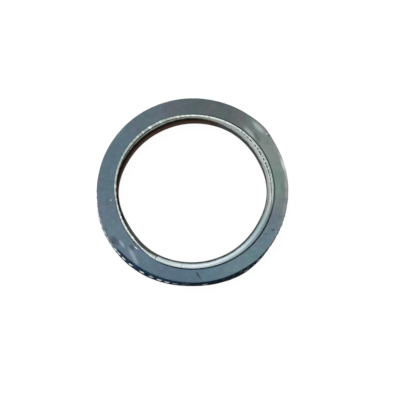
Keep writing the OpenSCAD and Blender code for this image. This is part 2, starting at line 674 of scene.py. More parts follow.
@dataclass
class GasketPiece:
    """A piece of the gasket that is turned about the axis of the bore and painted by its points."""

    sizes: GasketSizes
    name: str = "piece"
    node: str = "mesh_ring"
    slot: str = "pressed_knit"
    finish: Finish = PRESSED_GRAPHITE
    shape: OffRound = OffRound()
    steps: int = 720
    # Number of like sectors that a turned ring is made from
    sectors: int = 24
    # Longest edge of a section where it is out of sight
    hidden_step: float = 1.2 * MM
    # Rounding of an edge that is left almost sharp
    eased: float = 0.1 * MM
    # Distance within which two points are one
    merged: float = 0.001 * MM
    # Degrees past the start of the wide lip between which it widens, and between which it narrows
    widens: Pair = (2.6, 3.8)
    narrows: Pair = (102, 120)

    def section(self, corners: Sequence[Pair], rounds: Dict[int, float], segments: int, step: float,
                hidden: Callable[[Vector], bool] = lambda middle: False) -> bmesh.types.BMesh:
        """Draws a closed section with rounded corners.

        Args:
            corners: Radius and height of each corner.
            rounds: Radius of rounding by corner.
            segments: Number of edges in each rounding.
            step: Longest edge that may stay in the part of the section that shows.
            hidden: Tells whether an edge is out of sight, by its middle.

        Returns:
            A mesh that holds the section's edges in the plane of X and Z.
        """
        bm = bmesh.new()
        verts = [bm.verts.new((r, 0, z)) for r, z in corners]
        for i, vert in enumerate(verts):
            bm.edges.new((vert, verts[(i + 1) % len(verts)]))
        for i, radius in rounds.items():
            bmesh.ops.bevel(bm, geom=[verts[i]], offset=radius, offset_type="OFFSET", segments=segments,
                            profile=0.5, affect="VERTICES", material=-1, clamp_overlap=False)
        for edge in [e for e in bm.edges if e.calc_length() > step]:
            middle = (edge.verts[0].co + edge.verts[1].co) / 2
            cuts = int(edge.calc_length() / (self.hidden_step if hidden(middle) else step))
            if cuts:
                bmesh.ops.subdivide_edges(bm, edges=[edge], cuts=cuts)
        return bm

    def turned(self, bm: bmesh.types.BMesh) -> bmesh.types.BMesh:
        """Spins a section round the axis of the bore into a closed shell.

        The spin covers one sector, and turned copies of the sector close the ring.

        Args:
            bm: Mesh that holds the section.

        Returns:
            The mesh of the ring.
        """
        share = math.tau / self.sectors
        bmesh.ops.spin(bm, geom=bm.verts[:] + bm.edges[:], cent=(0, 0, 0), axis=(0, 0, 1),
                       angle=share, steps=self.steps // self.sectors)
        part = self.as_mesh(bm)
        ring = bmesh.new()
        for i in range(self.sectors):
            self.add_copy(ring, part, Matrix.Rotation(i * math.tau / self.sectors, 4, "Z"))
        bpy.data.meshes.remove(part)
        bmesh.ops.remove_doubles(ring, verts=ring.verts, dist=self.merged)
        bmesh.ops.recalc_face_normals(ring, faces=ring.faces)
        return ring

    @staticmethod
    def as_mesh(bm: bmesh.types.BMesh) -> bpy.types.Mesh:
        """Turns a bmesh into a mesh of its own and frees the bmesh.

        Args:
            bm: The bmesh, which is gone afterwards.

        Returns:
            The mesh.
        """
        mesh = bpy.data.meshes.new("pattern")
        bm.to_mesh(mesh)
        bm.free()
        return mesh

    @staticmethod
    def add_copy(bm: bmesh.types.BMesh, mesh: bpy.types.Mesh, place: Matrix) -> int:
        """Adds a moved copy of a mesh.

        Args:
            bm: Mesh that the copy is added to.
            mesh: Mesh to copy.
            place: Where the copy goes.

        Returns:
            The number of points in the copy.
        """
        moved = mesh.copy()
        moved.transform(place)
        bm.from_mesh(moved)
        count = len(moved.vertices)
        bpy.data.meshes.remove(moved)
        return count

    def widened(self, angle: float) -> float:
        """Tells how much of its full width the upper lip has at an angle, past that of its narrow part."""
        away = (angle - self.sizes.wide_start) % 360
        return rise(*self.widens, away) * (1 - rise(*self.narrows, away))

    def lip_edge_at(self, angle: float) -> float:
        """Gives the radius of the upper lip's edge.

        Args:
            angle: Angle in degrees.

        Returns:
            The radius there.
        """
        s = self.sizes
        narrow = s.short_lip_r + self.shape.lip_edge.at(angle) * MM
        return narrow + (s.lip_edge_r - narrow) * self.widened(angle)

    def dressed(self, bm: bmesh.types.BMesh,
                paint: Callable[[Vector, Vector], Skin]) -> bpy.types.Object:
        """Turns a mesh into a finished piece.

        Args:
            bm: Mesh of the piece in the part's frame.
            paint: Gives the tone and the bareness at a place with its normal.

        Returns:
            The piece.
        """
        bm.normal_update()
        tone = bm.verts.layers.float_color.new("tone")
        bare = bm.verts.layers.float.new("bare")
        for vert in bm.verts:
            colour, share = paint(vert.co, vert.normal)
            vert[tone] = (*colour, 1)
            vert[bare] = share
        mesh = bpy.data.meshes.new(self.name)
        bm.to_mesh(mesh)
        bm.free()
        mesh.shade_smooth()
        piece = add_object(self.name, mesh)
        mesh.materials.append(self.finish.material())
        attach(piece, "root")
        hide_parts(self.node)
        LOG.info("%s has %d faces", self.name, len(mesh.polygons))
        return piece


@dataclass
class PressedRing(GasketPiece):
    """The pressed body of the ring, with its flat faces, its wall and the shelf under the lip."""

    name: str = "ring_body"
    # Pale tones of the painted highlight on the right rim and of the painted highlights on the wall
    rim_highlight_tone: str = "#9B9D9C"
    wall_highlight_tone: str = "#B2BFC7"
    # Tones of the flat face, of the outer wall and of the crevice's wall. They carry painted light and
    # shade by angle: the face lighter and greener at the right and darker at the back, the wall darkest at
    # the front, and the crevice's wall darkest at the back and the left.
    face_tones_with_light: RingTones = RingTones(
        (0, "#798984"), (20, "#838F8B"), (40, "#7C8884"), (60, "#596364"), (90, "#525D62"),
        (120, "#52656F"), (150, "#506B78"), (180, "#596B7B"), (210, "#5E7585"), (240, "#587586"),
        (270, "#567286"), (300, "#688590"), (330, "#687E8A"),
    )
    wall_tones_with_shade: RingTones = RingTones(
        (0, "#556163"), (60, "#4A5658"), (90, "#3A4850"), (180, "#4A5C68"), (215, "#42607A"),
        (235, "#34536E"), (255, "#2D4B64"), (270, "#233849"), (290, "#213442"), (312, "#2A3844"),
        (330, "#4A5B62"),
    )
    groove_tones_with_shade: RingTones = RingTones(
        (0, "#6E857E"), (30, "#62766F"), (60, "#5C6B68"), (90, "#2C3B43"), (200, "#2C3B43"),
        (240, "#465C66"), (270, "#647F88"), (300, "#6A8890"), (330, "#607C84"),
    )
    # Sizes in millimetres of the dents, the stains, the spots, the drift of hue and the grit
    dents_mm: float = 2.0
    stains_mm: float = 7.69
    spots_mm: float = 2.38
    hues_mm: float = 5.88
    grit_mm: float = 1.111
    # How far the dents reach, in millimetres
    dent_mm: float = 0.03
    # How much the drift of hue sways red, green and blue
    hue_sway: Colour = (0.22, -0.04, 0.04)
    # Start, end and softness of the sector with a painted highlight on the rim, and of those with painted
    # highlights on the wall
    highlight_at: Sector = (332, 36, 24)
    wall_highlight_left_at: Sector = (186, 215, 14)
    wall_highlight_right_at: Sector = (345, 60, 30)
    # Heights from a face's plane at which the crevice's wall and the outer wall start
    groove_depth: float = 0.1 * MM
    wall_depth: float = 0.12 * MM
    # Distance from the face's edge within which a point belongs to the crevice
    groove_reach: float = 0.05 * MM
    # Distances from the outer wall at which the rim's painted highlight has faded out and is whole
    rim_out: float = 1.5 * MM
    rim_in: float = 0.5 * MM
    # Depth of the stains, of the rim's painted highlight and of the wall's painted highlights
    stain_depth: float = 0.2
    rim_highlight_depth: float = 0.75
    wall_highlight_depth: float = 0.9
    # Bareness of the face, and of the wall where it has painted highlights
    face_bare: float = 0.3
    wall_highlight_bare: float = 0.05
    # Share of the left's painted highlight that the right of the wall has
    wall_highlight_right: float = 0.8
    # Distance behind the crevice's wall from which the section is out of sight
    sight_margin: float = 0.02 * MM

    @property
    def nose_r(self) -> float:
        """Radius of the nose that lies in the sleeve's channel."""
        return self.sizes.bore_r + self.sizes.sheet + self.sizes.seat_gap

    def shaped(self, place: Vector) -> Vector:
        """Moves a point of the true ring to where the pressed ring has it.

        Args:
            place: Point on the true ring.

        Returns:
            The point on the pressed ring.
        """
        s = self.sizes
        r, angle = place.xy.length, bearing(place)
        share = max(0.0, (r - s.face_r) / (s.wall_r - s.face_r))
        dent = self.dent_mm * wander(place, self.dents_mm)
        down = (s.ring_top - place.z) / (s.ring_top - s.ring_low)
        move = share * (self.shape.wall(angle, down) + dent) * MM
        if place.z > s.throat_high:
            pull = self.shape.face_edge.at(angle) * MM
            inside = max(0.0, (r - self.nose_r) / (s.face_r - self.nose_r)) ** 2
            move += pull * (1 - share if r >= s.face_r else inside)
        scale = (r + move) / r
        return Vector((place.x * scale, place.y * scale, place.z))

    def zone(self, place: Vector) -> Zone:
        """Tells which part of the ring a point belongs to.

        Args:
            place: Point on the pressed ring.

        Returns:
            The part's zone.
        """
        s = self.sizes
        edge = s.face_r
        if place.z > s.throat_high:
            edge += self.shape.face_edge.at(bearing(place)) * MM
        deep = s.ring_low + self.groove_depth < place.z < s.ring_top - self.groove_depth
        if deep and place.xy.length < edge + self.groove_reach:
            return Zone.GROOVE
        on_wall = s.ring_low + self.wall_depth < place.z < s.ring_top - self.wall_depth
        return Zone.WALL if on_wall else Zone.FACE

    def paint(self, place: Vector, normal: Vector) -> Skin:
        """Gives the tone and the bareness of the ring at a point.

        Args:
            place: Point on the ring.
            normal: Outward direction there, which the ring doesn't need.

        Returns:
            The tone and the bareness.
        """
        zone = self.zone(place)
        angle = bearing(place)
        if zone is Zone.GROOVE:
            # The crevice's wall: painted shade
            return self.groove_tones_with_shade.at(angle), 0.0
        rough = 0.5 + 0.5 * wander(place, self.grit_mm)
        if zone is Zone.FACE:
            s = self.sizes
            drift = wander(place, self.stains_mm) * 0.5 + wander(place, self.spots_mm, (3, 1, 7)) * 0.3
            hue = wander(place, self.hues_mm, (8, 2, 4))
            # The face's tone by angle carries painted light; its stains, spots and drift of hue are its own
            tone = tuple(band * (1 + self.stain_depth * drift + sway * hue)
                         for band, sway in zip(self.face_tones_with_light.at(angle), self.hue_sway))
            # Painted highlight along the right rim, broken up by grit
            rim = rise(s.wall_r - self.rim_out, s.wall_r - self.rim_in, place.xy.length)
            rim_highlight = sector(angle, *self.highlight_at) * rim
            return blend(tone, linear(self.rim_highlight_tone), self.rim_highlight_depth * rim_highlight * rough), self.face_bare
        # Painted highlights on the wall, at its left and more weakly at its right
        wall_highlight = sector(angle, *self.wall_highlight_left_at) + self.wall_highlight_right * sector(angle, *self.wall_highlight_right_at)
        # The wall's tone by angle carries painted shade, roughened by grit
        dark = tuple(band * (0.5 + rough) for band in self.wall_tones_with_shade.at(angle))
        return blend(dark, linear(self.wall_highlight_tone), self.wall_highlight_depth * wall_highlight * rough), self.wall_highlight_bare * wall_highlight

    def build(self) -> bpy.types.Object:
        """Builds and dresses the ring's body.

        Returns:
            The piece.
        """
        s = self.sizes
        nose_round = s.lip_round - s.sheet - s.seat_gap
        low_shelf = s.sleeve_h - s.shelf
        corners = [
            (s.face_r, s.ring_top), (s.wall_r, s.ring_top), (s.wall_r, s.ring_low), (s.face_r, s.ring_low),
            (s.face_r, low_shelf), (self.nose_r, low_shelf), (self.nose_r, s.shelf), (s.face_r, s.shelf),
        ]
        rounds = {1: s.edge_round, 2: s.edge_round, 0: self.eased, 3: self.eased,
                  5: nose_round, 6: nose_round}
        bm = self.turned(self.section(corners, rounds, segments=5, step=0.35 * MM,
                                      hidden=lambda middle: middle.x < s.face_r - self.sight_margin))
        for vert in bm.verts:
            vert.co = self.shaped(vert.co)
        return self.dressed(bm, self.paint)


@dataclass
class WireLoops(GasketPiece):
    """Loops of knitted wire that show on the ring's skin."""

    finish: Finish = KNIT_WIRE
    bright: str = "#D6E2EA"
    smeared: str = "#1F344A"
    seed: int = 7
    # Upward slopes between which a wire turns from painted shade to its own tone, where its sides that face
    # down are painted dark as shade
    lit: Pair = (-0.1, 0.6)
    # Bareness of the brightest wire
    bareness: float = 0.8

    def arch(self, bend: float, wire: float, reach: float, around: int = 8,
             along: int = 9) -> bpy.types.Mesh:
        """Makes an open arch of wire that stands out along +X.

        Args:
            bend: Radius to which the wire is bent.
            wire: Diameter of the wire.
            reach: Degrees of the bend on each side of its crown.
            around: Points round the wire.
            along: Steps along the arch.

        Returns:
            The arch as a mesh to copy.
        """
        bm = bmesh.new()
        place = (Matrix.Rotation(-math.radians(reach), 4, "Z") @ Matrix.Translation((bend, 0, 0))
                 @ Matrix.Rotation(math.pi / 2, 4, "X"))
        bmesh.ops.create_circle(bm, cap_ends=True, segments=around, radius=wire / 2, matrix=place)
        bmesh.ops.spin(bm, geom=bm.verts[:] + bm.edges[:] + bm.faces[:], cent=(0, 0, 0), axis=(0, 0, 1),
                       angle=math.radians(2 * reach), steps=along)
        return self.as_mesh(bm)

    def strung(self, bm: bmesh.types.BMesh, levels: Sequence[float], dark_below: bool) -> bpy.types.Object:
        """Dresses the loops by how bright each one is.

        Args:
            bm: Mesh of all the loops.
            levels: Brightness of each of its points.
            dark_below: Whether the sides of the wire that face down are painted dark as shade.

        Returns:
            The piece.
        """
        bmesh.ops.recalc_face_normals(bm, faces=bm.faces)
        glow = {tuple(vert.co): level for vert, level in zip(bm.verts, levels)}

        def paint(place: Vector, normal: Vector) -> Skin:
            """Gives the tone and the bareness of the wire at a point."""
            # Sides that face down get painted shade, where that is asked for
            level = glow[tuple(place)] * (rise(*self.lit, normal.z) if dark_below else 1)
            return blend(linear(self.smeared), linear(self.bright), level), self.bareness * level

        return self.dressed(bm, paint)


@dataclass
class WallLoops(WireLoops):
    """Rows of leaning loops on the outer wall, bright where the die has rubbed them, and lighter where they
    lie flush and in the painted highlight at the wall's left.
    """

    name: str = "wall_loops"
    rows: int = 3
    loops: int = 66
    bend: float = 1.0 * MM
    lean: float = 35.0
    # Angle and brightness of each loop that the die has rubbed
    rubbed: Tuple[Pair, ...] = (
        (193.5, 0.8), (197.5, 0.85), (201.5, 0.85), (206.0, 0.8), (210.0, 0.75), (214.0, 0.6),
        (218.3, 1.0), (221.4, 0.95), (225.6, 1.0), (231.0, 0.95), (239.0, 1.0), (245.0, 0.7),
        (250.2, 0.95), (254.8, 0.85), (259.8, 0.4), (277.4, 0.45), (303.0, 0.3),
    )
    # Degrees of bend that show on each side of a loop's crown, if it is usual and if it is rubbed
    reach: float = 52.0
    rubbed_reach: float = 44.0
    # A rubbed loop's bend and wire against those of a usual one, and its height in rows
    rubbed_bend: float = 1.3
    rubbed_wire: float = 1.2
    rubbed_row: float = 1.28
    # A rubbed loop's lean from level, and how much deeper it sits
    rubbed_lean: Pair = (4, 14)
    rubbed_sunk: float = 0.05 * MM
    # How far a usual loop strays round the ring and in its lean, in degrees
    stray: float = 0.7
    lean_stray: float = 9.0
    # How much deeper a usual loop may sit, in millimetres, and how bright it may be
    sunk_mm: float = 0.12
    dull: Tuple[float, ...] = (0.0, 0.02, 0.05, 0.12)
    # Degrees beside a rubbed loop that hold no usual loop of the middle row
    clear: float = 2.7
    # Start, end and softness of the sectors where the loops lie flush, and of the sector where they are
    # lightened as painted highlight
    flush_right_at: Sector = (312, 65, 10)
    flush_left_at: Sector = (120, 190, 10)
    highlight_at: Sector = (186, 216, 14)
    # How much deeper a flush loop sits, and how much brighter the loops are where they lie flush and in the
    # painted highlight
    flush_sunk: float = 0.07 * MM
    flush_and_highlight_glow: float = 0.35

    def build(self) -> bpy.types.Object:
        """Builds and dresses the loops on the wall.

        Returns:
            The piece.
        """
        s = self.sizes
        chance = random.Random(self.seed)
        bm = bmesh.new()
        base = s.ring_low + s.edge_round
        row_h = (s.ring_top - s.ring_low - 2 * s.edge_round) / self.rows
        rubbed_bend = self.rubbed_bend * self.bend
        usual = self.arch(self.bend, s.wire_d, self.reach)
        rubbed = self.arch(rubbed_bend, self.rubbed_wire * s.wire_d, self.rubbed_reach)
        levels: List[float] = []
        for row in range(self.rows):
            for i in range(self.loops):
                stray = chance.uniform(-self.stray, self.stray)
                angle = ((i + row / 2) * 360 / self.loops + stray) % 360
                lean = self.lean + chance.uniform(-self.lean_stray, self.lean_stray)
                sunk, level = chance.uniform(0.0, self.sunk_mm) * MM, chance.choice(self.dull)
                beside = min(turn_between(angle, at) for at, _ in self.rubbed)
                if row == 1 and beside < self.clear:
                    continue
                flush = max(sector(angle, *self.flush_right_at), sector(angle, *self.flush_left_at))
                # Flush loops, and loops in the painted highlight at the wall's left, are brightened
                level += self.flush_and_highlight_glow * max(flush, sector(angle, *self.highlight_at))
                count = self.hung(bm, usual, angle, base + (row + 0.5) * row_h,
                                  lean if row % 2 == 0 else -lean, self.bend,
                                  sunk + self.flush_sunk * flush)
                levels += [level] * count
        for at, level in self.rubbed:
            count = self.hung(bm, rubbed, at, base + self.rubbed_row * row_h,
                              chance.uniform(*self.rubbed_lean), rubbed_bend, self.rubbed_sunk)
            levels += [level] * count
        return self.strung(bm, levels, dark_below=False)

    def hung(self, bm: bmesh.types.BMesh, loop: bpy.types.Mesh, angle: float, height: float, lean: float,
             bend: float, sunk: float) -> int:
        """Sets one loop into the wall.

        Args:
            bm: Mesh that the loop is added to.
            loop: The loop's mesh.
            angle: Where it sits round the ring, in degrees.
            height: Height of its middle.
            lean: Its lean away from level, in degrees.
            bend: Radius to which it is bent.
            sunk: How much deeper than usual it sits.

        Returns:
            The number of points added.
        """
        s = self.sizes
        down = (s.ring_top - height) / (s.ring_top - s.ring_low)
        out = s.wall_r + self.shape.wall(angle, down) * MM + s.wire_rise - s.wire_d / 2 - bend - sunk
        place = (Matrix.Rotation(math.radians(angle), 4, "Z") @ Matrix.Translation((out, 0, height))
                 @ Matrix.Rotation(math.radians(lean), 4, "X"))
        return self.add_copy(bm, loop, place)


@dataclass
class LipLoops(WireLoops):
    """The chain of loops that comes through beside the narrow part of the lip."""

    name: str = "lip_loops"
    bright: str = "#D2DEDA"
    smeared: str = "#46534F"
    bend: float = 0.5 * MM
    pitch: float = 1.3 * MM
    lean: float = 50.0
    # Distance of the chain from the narrow lip, and its crowns' height over the flat face
    beside: float = 0.28 * MM
    proud: float = 0.04 * MM
    # Degrees of bend that show on each side of a loop's crown
    reach: float = 62.0
    # How far a loop strays round the ring and in its turn, in degrees, and outward, in millimetres
    stray: float = 0.8
    turn_stray: float = 18.0
    out_stray_mm: float = 0.07
    # Thickness of a wire against that of the part
    thick: Pair = (0.85, 1.2)
    # Depth to which loops are pressed where they merge, and how far each one strays in depth
    smoothed_mm: float = 0.16
    pressed_mm: float = 0.1
    # Share of the turn, and of the brightness, that is left where the loops merge
    merged_turn: float = 0.3
    merged_glow: float = 0.6
    # How bright a loop may be
    glow: Pair = (0.45, 1.0)
    # Start, end and softness of the sectors where single loops show, and how clear the second is
    crisp_right_at: Sector = (5, 66, 10)
    crisp_left_at: Sector = (174, 192, 8)
    crisp_left: float = 0.7

    def build(self) -> bpy.types.Object:
        """Builds and dresses the chain of loops.

        Returns:
            The piece.
        """
        s = self.sizes
        chance = random.Random(self.seed)
        bm = bmesh.new()
        row_r = s.short_lip_r + self.beside
        start, end = s.wide_end - 360, s.wide_start
        count = int(math.radians(end - start) * row_r / self.pitch)
        loop = self.arch(self.bend, s.wire_d, self.reach)
        levels: List[float] = []
        for i in range(count):
            angle = start + (i + 0.5) * (end - start) / count + chance.uniform(-self.stray, self.stray)
            crisp = max(sector(angle, *self.crisp_right_at),
                        self.crisp_left * sector(angle, *self.crisp_left_at))
            share = self.merged_turn + (1 - self.merged_turn) * crisp
            turned = self.lean * share + chance.uniform(-self.turn_stray, self.turn_stray)
            thick = chance.uniform(*self.thick)
            drop = (self.smoothed_mm * (1 - crisp) + chance.uniform(0, self.pressed_mm)) * MM
            out = row_r + chance.uniform(-self.out_stray_mm, self.out_stray_mm) * MM
            middle = s.ring_top + self.proud - drop - s.wire_d / 2 - self.bend
            stand = (Matrix.Rotation(math.radians(angle), 4, "Z") @ Matrix.Translation((out, 0, middle))
                     @ Matrix.Rotation(math.radians(turned if i % 2 else -turned), 4, "Z")
                     @ Matrix.Rotation(math.pi / 2, 4, "Z") @ Matrix.Rotation(-math.pi / 2, 4, "Y")
                     @ Matrix.Diagonal((1, 1, thick, 1)))
            level = chance.uniform(*self.glow) * (self.merged_glow + (1 - self.merged_glow) * crisp)
            levels += [level] * self.add_copy(bm, loop, stand)
        return self.strung(bm, levels, dark_below=True)


@dataclass
class PressedEdge(GasketPiece):
    """The pressed rope of wire that fills the gap between the narrow lip and the flat face."""

    name: str = "pressed_edge"
    finish: Finish = KNIT_WIRE
    # Painted shade in its gaps and on its sides, paler in the right sector, and the bright tone of its
    # painted highlight on top
    dark: str = "#2A3535"
    pale_shade: str = "#7A8783"
    bright: str = "#D6E0DC"
    # Radius of its inner edge in millimetres
    inner: RingCurve = RingCurve(
        (0, 24.35), (30, 24.25), (55, 24.05), (75, 23.85), (150, 23.75), (178, 23.6), (196, 23.4),
        (213, 23.45), (228, 23.75), (238, 23.95), (300, 24.4),
    )
    # Width of the open crevice between it and the face, in millimetres
    crevice: RingCurve = RingCurve(
        (0, 0.4), (30, 0.35), (55, 0.3), (80, 0.1), (100, 0.0), (200, 0.0), (213, 0.15), (228, 0.22),
        (238, 0.05), (300, 0.4),
    )
    # Strength of the painted highlight on its top round the ring, from 0 to 1
    shine: RingCurve = RingCurve(
        (0, 0.75), (15, 0.65), (40, 0.8), (60, 1.0), (95, 1.0), (108, 0.75), (150, 0.68), (172, 0.7),
        (186, 0.7), (198, 0.9), (212, 0.95), (225, 1.0), (240, 1.0), (300, 0.5),
    )
    # Angle of each bead that stands out from it, and its height against that of a full swell
    beads: Tuple[Pair, ...] = (
        (123.5, 1.6), (114.5, 1.3), (178.0, 0.9), (184.0, 0.9), (221.0, 1.0),
    )
    # Half width of a bead in degrees
    bead_half: float = 0.9
    # Waves of the swell to a degree, the coarse ones and the fine ones
    coarse: float = 0.55
    fine: float = 1.4
    # How far a full swell widens the rope, and what share it adds to its height
    wider: float = 0.08 * MM
    taller: float = 0.12
    # Share of its height that is left under the wide lip
    buried: float = 0.1
    # How far it reaches under the lip's edge, and into the shelf
    tucked: float = 0.05 * MM
    # Rounding of its upper edges
    rounded: float = 0.3 * MM
    # Upward slopes between which it turns from painted shade to painted highlight
    lit: Pair = (-0.1, 0.7)
    # Strength of the painted highlight between the swells, and what a full swell adds to it
    low_glow: float = 0.85
    swell_glow: float = 0.35
    # Bareness where it is brightest
    bareness: float = 0.7
    # Start, end and softness of the sector in which the painted shade in its gaps is paler
    pale_shade_at: Sector = (345, 62, 12)

    def lump(self, angle: float) -> float:
        """Tells how far the rope swells.

        Args:
            angle: Angle in degrees.

        Returns:
            The swell there, which is about -1 to 1 and more on a bead.
        """
        swell = ripple(angle, self.coarse, (0.0, 2.0)) + 0.5 * ripple(angle, self.fine, (5.0, 0.0))
        bead = sum(tall * math.exp(-((angle - at) / self.bead_half) ** 2) for at, tall in self.beads)
        return swell + bead

    def build(self) -> bpy.types.Object:
        """Builds and dresses the pressed rope.

        Returns:
            The piece.
        """
        s = self.sizes
        low, high = s.shelf - self.tucked, s.ring_top
        left, right = s.short_lip_r, s.face_r
        corners = [(left, low), (right, low), (right, high), (left, high)]
        rounds = {2: self.rounded, 3: self.rounded}
        bm = self.turned(self.section(corners, rounds, segments=6, step=0.15 * MM))
        for vert in bm.verts:
            angle = bearing(vert.co)
            shown = 1 - self.widened(angle)
            start = max(self.inner.at(angle) * MM, self.lip_edge_at(angle) - self.tucked)
            end = s.face_r + (self.shape.face_edge.at(angle) - self.crevice.at(angle)) * MM
            swell = self.lump(angle)
            start -= self.wider * swell * shown
            across = (vert.co.xy.length - left) / (right - left)
            radius = start + (end - start) * across
            tall = (1 + self.taller * swell) * shown + self.buried * (1 - shown)
            scale = radius / vert.co.xy.length
            vert.co = Vector((vert.co.x * scale, vert.co.y * scale, low + (vert.co.z - low) * tall))
        return self.dressed(bm, self.paint)

    def paint(self, place: Vector, normal: Vector) -> Skin:
        """Gives the tone and the bareness of the rope at a point.

        Args:
            place: Point on the rope.
            normal: Outward direction there.

        Returns:
            The tone and the bareness.
        """
        angle = bearing(place)
        swell = self.low_glow + self.swell_glow * self.lump(angle)
        # Painted highlight on the rope's top, fading to painted shade on its sides and in its gaps
        level = self.shine.at(angle) * swell * rise(*self.lit, normal.z)
        gap = blend(linear(self.dark), linear(self.pale_shade), sector(angle, *self.pale_shade_at))
        return blend(gap, linear(self.bright), level), self.bareness * held(level)


@dataclass(frozen=True)
class Seam:
    """A shallow notch across the lip, as where the ends of its strip meet.

    Attributes:
        at: Its angle round the ring, in degrees.
        width: Half of its width, in degrees.
        depth: Its depth, as a share of the deepest one's.
    """

    at: float
    width: float
    depth: float
    # Degrees from its middle past which nothing of it is left
    reach: float = 4.0

    def share(self, angle: float, narrowed: float = 1.0) -> float:
        """Tells how deep the notch is at an angle.

        Args:
            angle: Angle in degrees.
            narrowed: Share of the notch's width that counts.

        Returns:
            The depth there, as a share of the deepest notch.
        """
        off = turn_between(angle, self.at)
        return self.depth * math.exp(-(off / (self.width * narrowed)) ** 2) if off < self.reach else 0.0


@dataclass
class RolledSleeve(GasketPiece):
    """The rolled steel sleeve that lines the bore, with its bright upper lip."""

    name: str = "sleeve_lining"
    node: str = "inner_sleeve"
    slot: str = "sleeve_steel"
    finish: Finish = ROLLED_STEEL
    seams: Tuple[Seam, ...] = (Seam(243.2, 0.5, 1.0), Seam(262.9, 0.4, 0.3), Seam(83.0, 0.35, 0.3))
    seam_tone: str = "#3B4A50"
    # Tones of the painted shade on the bore: grey, and from black to brown with a warm painted reflection
    # at the back left
    grey_shade: Tuple[str, str] = ("#4A4E50", "#666A69")
    brown_shade: Tuple[str, str] = ("#15140F", "#63463B")
    # How far up the lip's curve the painted shade reaches, in degrees
    shade_line: RingCurve = RingCurve(
        (0, 22), (30, 28), (60, 24), (78, 40), (95, 48), (120, 50), (150, 54), (175, 58), (190, 62),
        (213, 62), (228, 69), (239, 68), (246, 54), (280, 56), (300, 54), (330, 44),
    )
    # Tones of the bright lip, with painted light and shade by angle: lightest at the front and front left,
    # darkest at the left
    steel: RingTones = RingTones(
        (0, "#A9B0AC"), (30, "#B7C0BC"), (55, "#A8AEAC"), (75, "#92978F"), (95, "#82867F"),
        (150, "#6A716F"), (205, "#6A7174"), (222, "#A8B2B5"), (232, "#C4CFD3"), (245, "#BAC5C9"),
        (270, "#BCC8CD"), (300, "#9FACB1"), (330, "#788A8D"), (347, "#858C89"),
    )
    # Depth of the deepest seam, and of the dents along the lip
    seam_depth: float = 0.16 * MM
    dent_depth: float = 0.02 * MM
    # Radians up the lip's curve between which the dents grow
    dented: Pair = (0.5, 1.5)
    # Least distance from the centre of the lip's curve, so that the flat rim counts as its top
    least: float = 0.01 * MM
    # Share of a seam's width that is sunk, and how dark its middle is
    seam_narrowed: float = 0.8
    seam_shade: float = 0.9
    # Half of the degrees over which the painted shade fades into bare steel, and how far its edge strays
    fade: float = 8.0
    shade_stray: float = 5.0
    # Waves to a degree of the dents, of the painted shade's edge and of the steel's tone
    dent_waves: float = 0.2
    shade_waves: float = 0.25
    tone_waves: float = 0.09
    # Start, end and softness of the sector where the painted shade on the bore is black and brown
    brown_shade_at: Sector = (76, 200, 24)
    # Heights over the throat's end at which the painted shade there is black and at which it is brown
    black: float = 1.35 * MM
    brown: float = 0.1 * MM
    # Share of brown between the lumps of that painted shade, and what a lump adds to it
    brown_share: float = 0.45
    brown_lumps: float = 0.6
    # Degrees up the lip's curve between which its crown is darkened as painted shade, and what is left of
    # its tone
    crown_shade_at: Pair = (88, 70)
    crown_shade_tone: float = 0.8
    # Sizes in millimetres of the lumps of the painted shade and of the drift of the steel's tone, and its
    # depth
    lumps_mm: float = 1.43
    drift_mm: float = 3.85
    drift_depth: float = 0.1
    # Bareness in the painted shade, and what the steel out of it adds
    shade_bare: float = 0.08
    steel_bare: float = 0.85

    def lip_share(self, angle: float) -> float:
        """Tells how much of the lip's full width is there.

        Args:
            angle: Angle in degrees.

        Returns:
            The share of the lip's full length along its curve.
        """
        s = self.sizes
        full = s.lip_curve + s.lip_flat
        edge = s.short_lip_r + self.shape.lip_edge.at(angle) * MM
        narrow = s.lip_round * math.acos((s.centre_r - edge) / s.lip_round)
        return narrow / full + (1 - narrow / full) * self.widened(angle)

    def off_bore(self, r: float, angle: float) -> float:
        """Gives how far the sleeve strays outward.

        Args:
            r: Radius of the point, in metres.
            angle: Its angle in degrees.

        Returns:
            The outward shift in metres, which fades towards the lip's edge.
        """
        s = self.sizes
        share = held((s.lip_edge_r - r) / (s.lip_edge_r - s.bore_r - s.sheet))
        return self.shape.bore.at(angle) * MM * share

    def slide(self, place: Vector) -> Vector:
        """Moves a point of the upper lip along the lip's curve to the width that the lip has there.

        Args:
            place: Point on a sleeve whose lip has its full width all round.

        Returns:
            The point's place on the real lip.
        """
        s = self.sizes
        r, z = place.xy.length, place.z
        angle = bearing(place)
        new_r, new_z = r, z
        if z > s.throat_high:
            if r < s.centre_r:
                out = Vector((s.centre_r - r, z - s.throat_high))
                path = math.atan2(out.y, out.x) * s.lip_round
                depth = s.lip_round - out.length
            else:
                path = s.lip_curve + r - s.centre_r
                depth = s.sleeve_h - z
            path *= self.lip_share(angle)
            phi = min(path / s.lip_round, math.pi / 2)
            new_r = s.centre_r - (s.lip_round - depth) * math.cos(phi) + max(0.0, path - s.lip_curve)
            new_z = s.throat_high + (s.lip_round - depth) * math.sin(phi)
            for seam in self.seams:
                notch = seam.share(angle, self.seam_narrowed)
                new_z -= self.seam_depth * notch * rise(0, math.pi / 2, phi)
            dent = 1 + ripple(angle, self.dent_waves, (0.0, 5.0))
            new_z -= self.dent_depth * dent * rise(*self.dented, phi)
        scale = (new_r + self.off_bore(new_r, angle)) / r
        return Vector((place.x * scale, place.y * scale, new_z))

    def bore_shade(self, place: Vector, angle: float) -> Colour:
        """Gives the painted shade at a point of the bore.

        Args:
            place: Point on the sleeve.
            angle: Its angle in degrees.

        Returns:
            The tone.
        """
        s = self.sizes
